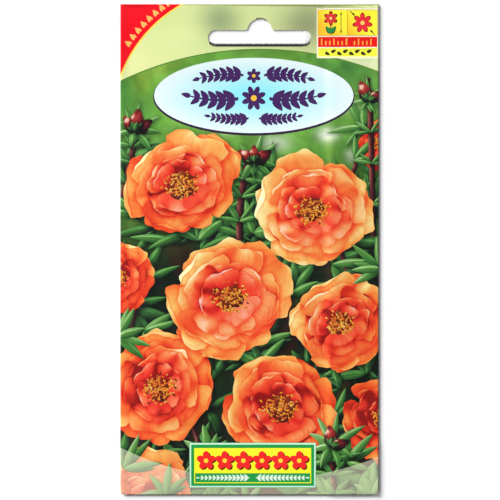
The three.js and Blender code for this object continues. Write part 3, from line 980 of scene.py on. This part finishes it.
def blankOutline():
    flapHalf, corner = sheet["flapHalfWidth"], sheet["flapCorner"]
    tip = flapHalf - sheet["flapTaper"] - corner
    halves = []
    for side, end in ((-1, blankLeft), (1, blankRight)):
        halves.append([(end, sheet["halfHeight"]), (end, sheet["backEnd"]), (side * foldX, sheet["backEnd"]),
                       (side * foldX, footY), (side * flapHalf, footY), (side * flapHalf, footY - foldArc)]
                      + arcPoints(side * tip, blankFoot + corner, corner, 270 + 90 * side, 270, 6))
    return np.array(halves[0] + halves[1][::-1])


def foldLines():
    # close lines along each fold, in short pieces, so that the paper bends round it evenly
    up = np.linspace(sheet["backEnd"], sheet["halfHeight"], 60)
    across = np.linspace(-sheet["flapHalfWidth"], sheet["flapHalfWidth"], 32)
    lines = []
    for step in (-0.3, -0.15, *np.linspace(0, foldArc, 7)):
        lines += [coords(np.full(60, side * (foldX + step)), up) for side in (-1, 1)]
        lines.append(coords(across, np.full(32, footY - step)))
    return lines


def cut(rings, loosePoints):
    # one flat triangulation with every ring as edges in it, and for each triangle the rings it is in
    points, edges, faces = [], [], []
    for ring in rings:
        x, y = ring.T
        corners = list(range(len(points), len(points) + len(ring)))
        clockwise = np.sum(x * np.roll(y, -1) - y * np.roll(x, -1)) < 0
        faces.append(corners[::-1] if clockwise else corners)
        points += ring.tolist()
    for line in foldLines():
        edges += [(i, i + 1) for i in range(len(points), len(points) + len(line) - 1)]
        points += line.tolist()
    keepAll, mergeWithin = 0, 1e-4
    return delaunay_2d_cdt(points + loosePoints, edges, faces, keepAll, mergeWithin)


def veilRings(first):
    # the rings of the printed tints, where the print's rings start at number first
    return {i + first for i, shape in enumerate(printed) if shape.get("veil")}


def dropHidden(rings):
    # leave out the printed shapes of which nothing shows
    owners = cut(rings + [shape["outline"] for shape in printed], [])[5]
    veils = veilRings(len(rings))
    shown = veils | {max(set(owned) - veils, default=0) for owned in owners}
    printed[:] = [shape for i, shape in enumerate(printed) if i + len(rings) in shown]


def cutOuterSkin():
    hole = slotOutline()
    rings = [blankOutline(), hole, mirrored(withLip(hole))]
    dropHidden(rings)
    result = cut(rings + [shape["outline"] for shape in printed], hexPoints(outsideCells))
    veils = veilRings(3)
    triangles, top, veil = [], [], []
    for triangle, owned in zip(result[2], result[5]):
        if 0 not in owned or 1 in owned or 2 in owned:
            continue
        owner = max(i for i in owned if i not in veils)
        triangles.append(triangle)
        top.append(owner - 3)
        veil.append(any(i in veils and i > owner for i in owned))
    blank = np.array([tuple(v) for v in result[0]])
    used, index = np.unique(np.array(triangles), return_inverse=True)
    return blank[used], index.reshape(-1, 3), np.array(top), np.array(veil)


def rimLoops(triangles):
    # the free edges, chained into loops with the sheet on their left
    edges = np.concatenate([triangles[:, [0, 1]], triangles[:, [1, 2]], triangles[:, [2, 0]]])
    size = triangles.max() + 1
    free = edges[~np.isin(edges[:, 0] * size + edges[:, 1], edges[:, 1] * size + edges[:, 0])]
    following = dict(free.tolist())
    loops = []
    while following:
        loop = [next(iter(following))]
        while loop[-1] in following:
            loop.append(following.pop(loop[-1]))
        loops.append(loop[:-1])
    return sorted(loops, key=len, reverse=True), free


def cutInnerSkin(blank, loops):
    # a coarser triangulation inside the same rim; also which of it shows through the slot as a lip
    rings = [blank[loop] for loop in loops] + [mirrored(slotOutline()), mirrored(withLip(slotOutline(), 0.5))]
    outline = max(range(len(loops)), key=lambda i: np.ptp(rings[i][:, 0]))
    result = cut(rings, hexPoints(insideCells))
    holes = set(range(len(loops))) - {outline}
    triangles, lip = [], []
    for triangle, owned in zip(result[2], result[5]):
        if outline in owned and not holes & set(owned):
            triangles.append(triangle)
            lip.append(len(loops) in owned)
    newIndex = {old: new for new, olds in enumerate(result[3]) for old in olds}
    rim = dict(zip(sum(loops, []), (newIndex[i] for i in range(sum(map(len, loops))))))
    return np.array([tuple(v) for v in result[0]]), np.array(triangles), np.array(lip), rim


def edgeDistance(spots, outline):
    # signed distance from points to a closed outline, negative inside
    alongX, alongY = (np.roll(outline, -1, axis=0) - outline).T
    dx, dy = (spots[:, None, axis] - outline[:, axis] for axis in (0, 1))
    t = np.clip((dx * alongX + dy * alongY) / np.maximum(alongX ** 2 + alongY ** 2, 1e-12), 0, 1)
    gap = np.sqrt(((dx - alongX * t) ** 2 + (dy - alongY * t) ** 2).min(axis=1))
    crossed = ((dy < 0) != (dy < alongY)) & (dx < dy / np.where(alongY == 0, 1e-9, alongY) * alongX)
    return np.where(np.sum(crossed, axis=1) % 2 == 1, -gap, gap)


def contactShade(index, spots, casters):
    # how far the shapes printed over this one shade it, softly and away from the light
    shade = np.ones(len(spots))
    over, lows, highs = casters
    meets = ((lows <= spots.max(axis=0)) & (highs >= spots.min(axis=0))).all(axis=1)
    for i in np.nonzero(meets & (over > index))[0]:
        near = ((spots >= lows[i]) & (spots <= highs[i])).all(axis=1)
        if near.any():
            shape = printed[over[i]]
            gap = edgeDistance(spots[near] + pictureLight[:2] * shape["lift"], shape["outline"])
            shade[near] *= 1 - shape["casts"] * (1 - smooth(gap, -0.4 * shape["soft"], shape["soft"]))
    return np.maximum(shade, 0.2)


def paintSkin(blank, triangles, top, veil):
    casters = [(i, shape["outline"].min(axis=0) - shape["lift"] - shape["soft"],
                shape["outline"].max(axis=0) + shape["lift"] + shape["soft"])
               for i, shape in enumerate(printed) if shape["casts"]]
    casters = [np.array(part) for part in zip(*casters)]
    colours = np.ones((len(triangles), 3, 4))
    detail = np.zeros((len(triangles), 3, 3))
    for i in np.unique(top):
        shape, mine = printed[i], np.nonzero(top == i)[0]
        used, where = np.unique(triangles[mine], return_inverse=True)
        spots = blank[used]
        shaded = shape["ink"] != inks["flat"] or shape["paint"] in (paintDot, paintStem, paintBud)
        shade = contactShade(i, spots, casters) if shaded else np.ones(len(spots))
        marks = coords(*shape["place"](shape, spots), np.full(len(spots), shape.get("phase", 0.0)))
        colours[mine, :, :3] = shape["paint"](shape, spots, shade)[where].reshape(-1, 3, 3)
        detail[mine] = marks[where].reshape(-1, 3, 3)
    colours[veil, :, :3] = veiled(np.clip(colours[veil, :, :3], 0, 1))
    # painted shade: the ink is darkened in a narrow band along the right fold and the foot, the edges that
    # turn away from the light
    s, y = blank[triangles].T
    rightEdgeShade = smooth(s, foldX - 0.1, foldX + 0.15) * (s < foldX + 2)
    footEdgeShade = smooth(-y, -footY - 0.15, -footY + 0.15)
    colours[..., :3] *= 1 - 0.7 * (np.maximum(rightEdgeShade, footEdgeShade) * (y > footY - 2)).T[..., None]
    return np.clip(colours, 0, 1), detail


# coated paper: clay-coated stock, offset printed and varnished: a soft gloss over a barely felt grain
coated = {
    "ior": 1.5,
    "roughness": 0.36,
    "grain": 0.35,  # drawn coarser than the real one, which is too fine to show
    "grainDepth": 0.006,
    "glossPatch": 9.0,
}


def coatedPaper(name, inkFactor):
    material, tree, shader = newMaterial(name)
    place = addNode(tree, "TexCoord", {}, "Object")
    grain = addNode(tree, "TexNoise", {"Vector": place, "Scale": 1 / (coated["grain"] * mm), "Detail": 3.0})
    gloss = addNode(tree, "TexNoise", {
        "Vector": place, "Scale": 1 / (coated["glossPatch"] * mm), "Detail": 2.0})
    rough = addNode(tree, "MapRange", {
        "Value": gloss, "From Min": 0.3, "From Max": 0.7, "To Min": coated["roughness"] - 0.05,
        "To Max": coated["roughness"] + 0.06})
    bump = addNode(tree, "Bump", {"Height": grain, "Strength": 0.35, "Distance": coated["grainDepth"] * mm})
    ink = addNode(tree, "Attribute", {}, "Color", attribute_name="ink")
    marks = addNode(tree, "Attribute", {}, "Vector", attribute_name="detail")
    colour = addNode(tree, "VectorMath", {0: ink, 1: inkFactor(tree, marks, grain)}, operation="MULTIPLY")
    plug(tree, shader, {"Base Color": colour, "Roughness": rough, "IOR": coated["ior"], "Normal": bump})
    return material


def flatInk(tree, marks, grain):
    # solid ink with a very fine unevenness
    return addNode(tree, "MapRange", {
        "Value": grain, "From Min": 0.3, "From Max": 0.7, "To Min": 0.96, "To Max": 1.03})


def petalInk(tree, marks, grain):
    # fine redder lines run up each petal from its base
    spread = addNode(tree, "VectorMath", {0: marks, 1: (6.0, 1.3, 1.0)}, operation="MULTIPLY")
    streak = addNode(tree, "TexNoise", {"Vector": spread, "Scale": 1.5, "Detail": 4.0, "Roughness": 0.6})
    return addNode(tree, "MixRGB", {"Fac": streak, "Color1": (0.84, 0.52, 0.5, 1),
                                    "Color2": (1.12, 1.42, 1.42, 1)})


def leafInk(tree, marks, grain):
    # a dark groove, fine streaks and a broken gleam along the lit side
    across = addNode(tree, "SeparateXYZ", {"Vector": marks}, "X")
    fromMiddle = addNode(tree, "Math", {0: across}, operation="ABSOLUTE")
    groove = addNode(tree, "MapRange", {
        "Value": fromMiddle, "From Min": 0.04, "From Max": 0.2, "To Min": 0.78})
    fromGleam = addNode(tree, "Math", {0: across, 1: 0.5}, operation="SUBTRACT")
    offGleam = addNode(tree, "Math", {0: fromGleam}, operation="ABSOLUTE")
    near = addNode(tree, "MapRange", {
        "Value": offGleam, "From Min": 0.04, "From Max": 0.34, "To Min": 1.0, "To Max": 0.0},
                   interpolation_type="SMOOTHSTEP")
    spread = addNode(tree, "VectorMath", {0: marks, 1: (3.0, 1.4, 1.0)}, operation="MULTIPLY")
    streak = addNode(tree, "TexNoise", {"Vector": spread, "Scale": 1.6, "Detail": 2.0})
    broken = addNode(tree, "MapRange", {"Value": streak, "From Min": 0.36, "From Max": 0.6})
    gleam = addNode(tree, "Math", {0: near, 1: broken}, operation="MULTIPLY")
    lit = addNode(tree, "MixRGB", {
        "Fac": gleam, "Color1": (0.94, 0.94, 0.94, 1), "Color2": (2.9, 2.2, 3.3, 1)})
    return addNode(tree, "VectorMath", {0: lit, 1: groove}, operation="MULTIPLY")


def gardenInk(tree, marks, grain):
    # out of focus, so only broad patches of light and shade
    patches = addNode(tree, "TexNoise", {"Vector": marks, "Scale": 0.16, "Detail": 1.5, "Distortion": 0.6})
    return addNode(tree, "MapRange", {
        "Value": patches, "From Min": 0.32, "From Max": 0.68, "To Min": 0.76, "To Max": 1.25})


# uncoated paper: the bare side of a sheet, chalky and faintly fibrous
def barePaper(name, colour, roughness=0.85, fibre=0.5):
    material, tree, shader = newMaterial(name)
    place = addNode(tree, "TexCoord", {}, "Object")
    fibres = addNode(tree, "TexNoise", {
        "Vector": place, "Scale": 1 / (fibre * mm), "Detail": 5.0, "Distortion": 1.2})
    tone = addNode(tree, "MapRange", {"Value": fibres, "From Min": 0.3, "From Max": 0.7, "To Min": 0.93})
    tint = addNode(tree, "VectorMath", {0: tuple(linear(colour)), 1: tone}, operation="MULTIPLY")
    bump = addNode(tree, "Bump", {"Height": fibres, "Strength": 0.4, "Distance": 0.02 * mm})
    plug(tree, shader, {"Base Color": tint, "Roughness": roughness, "IOR": 1.5, "Normal": bump})
    return material


def addPiece(name, verts, triangles, materials, slotName, *replaced):
    sharpFrom = 40  # degrees: smooth over the folds, sharp at the cut edges
    mesh = bpy.data.meshes.new(name)
    mesh.from_pydata((verts * mm).tolist(), [], triangles.tolist())
    for material in materials:
        mesh.materials.append(material)
    mesh.polygons.foreach_set("use_smooth", np.ones(len(triangles), dtype=bool))
    mesh.set_sharp_from_angle(angle=math.radians(sharpFrom))
    piece = addObject(name, mesh)
    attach(piece, "root")
    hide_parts(*replaced)
    return mesh


def rimWalls(a, b, belowA, belowB):
    # two triangles for each free edge a-b, down to the same edge of the sheet's other side
    return np.concatenate([coords(b, a, belowA), coords(b, belowA, belowB)])


def addCorners(mesh, name, kind, field, parts):
    # one value for each corner of each triangle
    values = np.concatenate([part.reshape(-1, part.shape[-1]) for part in parts]).astype(np.float32)
    mesh.attributes.new(name, kind, "CORNER").data.foreach_set(field, values.ravel())


def bakeMap(blank, outer, innerBlank, inner, lip, count):
    # flat map of the blank, with its bare side small below the back panel, and beside it the lip and
    # the cut edges
    size, margin = 170.0, 0.005  # millimetres across the map, and its empty edge
    bareShare, lipShift, wallFoot, wallHeight = 0.085, (3, -150), 0.004, 0.008
    corner = np.array((blankLeft, blankFoot))
    innerMap = ((innerBlank - corner) / size * bareShare + margin)[inner]
    innerMap[lip] = ((innerBlank + lipShift - corner) / size + margin)[inner[lip]]
    along = np.linspace(0.11, 0.42, count + 1)
    left, right = (coords(part, np.full(count, wallFoot)) for part in (along[:-1], along[1:]))
    up = (0, wallHeight)
    walls = [np.stack([right, left, left + up], axis=1), np.stack([right, left + up, right + up], axis=1)]
    return [((blank - corner) / size + margin)[outer], innerMap, *walls]


def makeEnvelope():
    blank, outer, top, veil = cutOuterSkin()
    print("stage: blank cut,", len(printed), "shapes,", len(outer), "triangles on its printed side")
    colours, detail = paintSkin(blank, outer, top, veil)
    print("stage: blank painted")
    loops, rim = rimLoops(outer)
    innerBlank, inner, lip, rimIndex = cutInnerSkin(blank, loops)
    inner = inner[:, ::-1]
    below = [np.array([rimIndex[i] for i in end]) + len(blank) for end in rim.T]
    walls = rimWalls(*rim.T, *below)
    triangles = np.concatenate([outer, inner + len(blank), walls])
    verts = np.concatenate([foldedSurface(blank, 1), foldedSurface(innerBlank, -1)])
    materials = [coatedPaper("offsetInkFlat", flatInk), coatedPaper("offsetInkPetals", petalInk),
                 coatedPaper("offsetInkLeaves", leafInk), coatedPaper("offsetInkGarden", gardenInk),
                 barePaper("uncoatedPaperInside", "#EFEBDD"), barePaper("cutPaperEdge", "#F4F1E8")]
    mesh = addPiece("printed_envelope", verts, triangles, materials, "printed_paper", "paper_envelope")
    inkOf = np.where(veil, inks["flat"], np.array([shape["ink"] for shape in printed])[top])
    slots = np.concatenate([inkOf, np.where(lip, inks["flat"], 4), np.full(len(walls), 5)])
    mesh.polygons.foreach_set("material_index", slots.astype(np.int32))
    innerColours = np.ones((len(inner), 3, 4))
    # painted shade on the lip that shows through the slot
    innerColours[lip, :, :3] = paintLipShade(innerBlank[inner[lip].reshape(-1)]).reshape(-1, 3, 3)
    wallColours = np.ones((len(walls), 3, 4))
    addCorners(mesh, "ink", "FLOAT_COLOR", "color", [colours, innerColours, wallColours])
    bare = np.zeros((len(inner) + len(walls), 3, 3))
    addCorners(mesh, "detail", "FLOAT_VECTOR", "vector", [detail, bare])
    flat = bakeMap(blank, outer, innerBlank, inner, lip, len(rim))
    mesh.uv_layers.new(name="OFBake").uv.foreach_set(
        "vector", np.concatenate([part.reshape(-1, 2) for part in flat]).astype(np.float32).ravel())
    print("stage: envelope folded,", len(triangles), "triangles")


makeEnvelope()


# the sachet inside: two webs of heat-seal paper, sealed flat and crimped all round
def webLift(u, v):
    gapX, gapY = sachet["width"] / 2 - np.abs(u), sachet["height"] / 2 - np.abs(v)
    edge, seal, run = np.minimum(gapX, gapY), sachet["seal"], sachet["swell"]
    lift = sachet["rise"] * smooth(gapX - seal, 0, run) * smooth(gapY - seal, 0, run)
    ridges = 0.5 + 0.5 * np.cos(2 * math.pi * edge / sachet["crimpPitch"])
    crimp = sachet["crimp"] * ridges * smooth(edge, 0.2, 0.8) * (1 - smooth(edge, 4.0, 4.8))
    pucker = 0.04 * np.sin(1.1 * u) * np.sin(0.9 * v + 1) * smooth(edge - seal, 0, 5)
    return lift + crimp + pucker * (1 - smooth(edge - seal, 5, 16))


sachetPaper = barePaper("heatSealPaper", "#F3F0E6", 0.6, 0.8)


def addWeb(name, node, front):
    across, up = (np.linspace(-side / 2, side / 2, int(side / sachet["cell"]) + 1)
                  for side in (sachet["width"], sachet["height"]))
    u, v = (grid.ravel() for grid in np.meshgrid(across, up))
    base = sheet["paper"] + (sachet["web"] if front else 0)
    bottom = base + (webLift(u, v) if front else 0 * u)
    x, y = laid(coords(u, v), sachet["at"], sachet["turn"]).T
    columns, rows, count = len(across), len(up), len(u)
    i = (np.arange(rows - 1)[:, None] * columns + np.arange(columns - 1)).ravel()
    skin = np.concatenate([coords(i, i + 1, i + columns + 1), coords(i, i + columns + 1, i + columns)])
    rim = rimLoops(skin)[1].T
    verts = np.concatenate([coords(x, y, bottom + sachet["web"]), coords(x, y, bottom)])
    addPiece(name, verts, np.concatenate([skin, skin[:, ::-1] + count, rimWalls(*rim, *(rim + count))]),
             [sachetPaper], "sachet_paper", node)


addWeb("sachet_back", "sachet_back_web", False)
addWeb("sachet_front", "sachet_front_web", True)

# seed: a low heap of tiny rounded kidney-shaped grains with a steely sheen
seedBox = [np.array(corner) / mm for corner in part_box("seeds")]
seed = {"grains": 420, "size": (0.5, 0.4, 0.3), "edge": 0.55, "lowest": 0.27, "heap": 0.25, "mound": 0.42,
        "seed": 9}


def seedMaterial():
    material, tree, shader = newMaterial("steelGreySeed")
    place = addNode(tree, "TexCoord", {}, "Object")
    pebbled = addNode(tree, "TexVoronoi", {"Vector": place, "Scale": 1 / (0.14 * mm)})
    patches = addNode(tree, "TexNoise", {"Vector": place, "Scale": 1 / (1.2 * mm)})
    mix = addNode(tree, "MapRange", {"Value": patches, "From Min": 0.35, "From Max": 0.65})
    colour = addNode(tree, "MixRGB", {
        "Fac": mix, "Color1": (*linear("#1F1C1C"), 1), "Color2": (*linear("#4A4542"), 1)})
    bump = addNode(tree, "Bump", {"Height": pebbled, "Strength": 0.6, "Distance": 0.03 * mm})
    plug(tree, shader, {"Base Color": colour, "Roughness": 0.38, "IOR": 1.5, "Normal": bump})
    return material


def roundBody(rings, sides):
    polar, turn = np.meshgrid(math.pi * np.arange(1, rings) / rings, around(sides), indexing="ij")
    bands = coords(np.sin(polar) * np.cos(turn), np.sin(polar) * np.sin(turn), np.cos(polar))
    points = np.concatenate([[(0, 0, 1)], bands.reshape(-1, 3), [(0, 0, -1)]])
    faces = [(0, 1 + k, 1 + (k + 1) % sides) for k in range(sides)]
    for r in range(rings - 2):
        for k in range(sides):
            a, b = 1 + r * sides + k, 1 + r * sides + (k + 1) % sides
            faces += [(a, a + sides, b + sides), (a, b + sides, b)]
    last = len(points) - 1
    faces += [(last, last - sides + (k + 1) % sides, last - sides + k) for k in range(sides)]
    return points, np.array(faces)


def addSeeds():
    rng = np.random.default_rng(seed["seed"])
    points, faces = roundBody(6, 9)
    # a kidney's dent on one side
    dent = 0.1 * np.exp(-(points[:, :1] / 0.5) ** 2) * (points[:, 1:2] > 0)
    points = points * seed["size"] - dent * (0, 1, 0)
    middle = (seedBox[0] + seedBox[1]) / 2
    half = (seedBox[1] - seedBox[0]) / 2 - seed["edge"]
    floor = seedBox[0][2]
    bodies = []
    for i in range(seed["grains"]):
        away = math.sqrt((i + 0.5) / seed["grains"])
        angle = goldenAngle * i + rng.uniform(-0.2, 0.2)
        turn, tip = turned(rng.uniform(0, 2 * math.pi)), turned(rng.uniform(-0.4, 0.4))
        grain = points.copy()
        grain[:, 1:] = grain[:, 1:] @ tip.T
        grain[:, :2] = grain[:, :2] @ turn.T
        level = floor + seed["lowest"] + (seed["heap"] + 0.1 * rng.random()) * (1 - away ** 2)
        bodies.append(grain + (*(middle[:2] + half[:2] * away * ray(angle)), level))
    mound, moundFaces = roundBody(10, 36)
    bodies.append(mound * (*half[:2], seed["mound"]) + (*middle[:2], floor))
    faceLists = [faces] * seed["grains"] + [moundFaces]
    triangles = [body + i * len(points) for i, body in enumerate(faceLists)]
    verts = np.concatenate(bodies)
    verts[:, 2] = np.maximum(verts[:, 2], floor)
    addPiece("seed_heap", verts, np.concatenate(triangles), [seedMaterial()], "seed_coat", "seeds")


addSeeds()


# dried white glue: milky and half glossy, rolled on in bands that are thinner here and there
def glueMaterial():
    material, tree, shader = newMaterial("driedGlue")
    place = addNode(tree, "TexCoord", {}, "Object")
    film = addNode(tree, "TexNoise", {"Vector": place, "Scale": 1 / (2.5 * mm), "Detail": 3.0})
    colour = addNode(tree, "MixRGB", {
        "Fac": film, "Color1": (*linear("#DDD3B0"), 1), "Color2": (*linear("#F2EEDD"), 1)})
    rough = addNode(tree, "MapRange", {"Value": film, "To Min": 0.22, "To Max": 0.42})
    bump = addNode(tree, "Bump", {"Height": film, "Strength": 0.5, "Distance": 0.02 * mm})
    plug(tree, shader, {"Base Color": colour, "Roughness": rough, "IOR": 1.47, "Normal": bump})
    return material


glue = glueMaterial()
for name in ("back_seam_glue", "bottom_flap_glue", "header_glue", "lap_glue"):
    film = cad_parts[name]
    film.data.materials.clear()
    film.data.materials.append(glue)
print("stage: sachet, seed and glue")

print("stage: done")
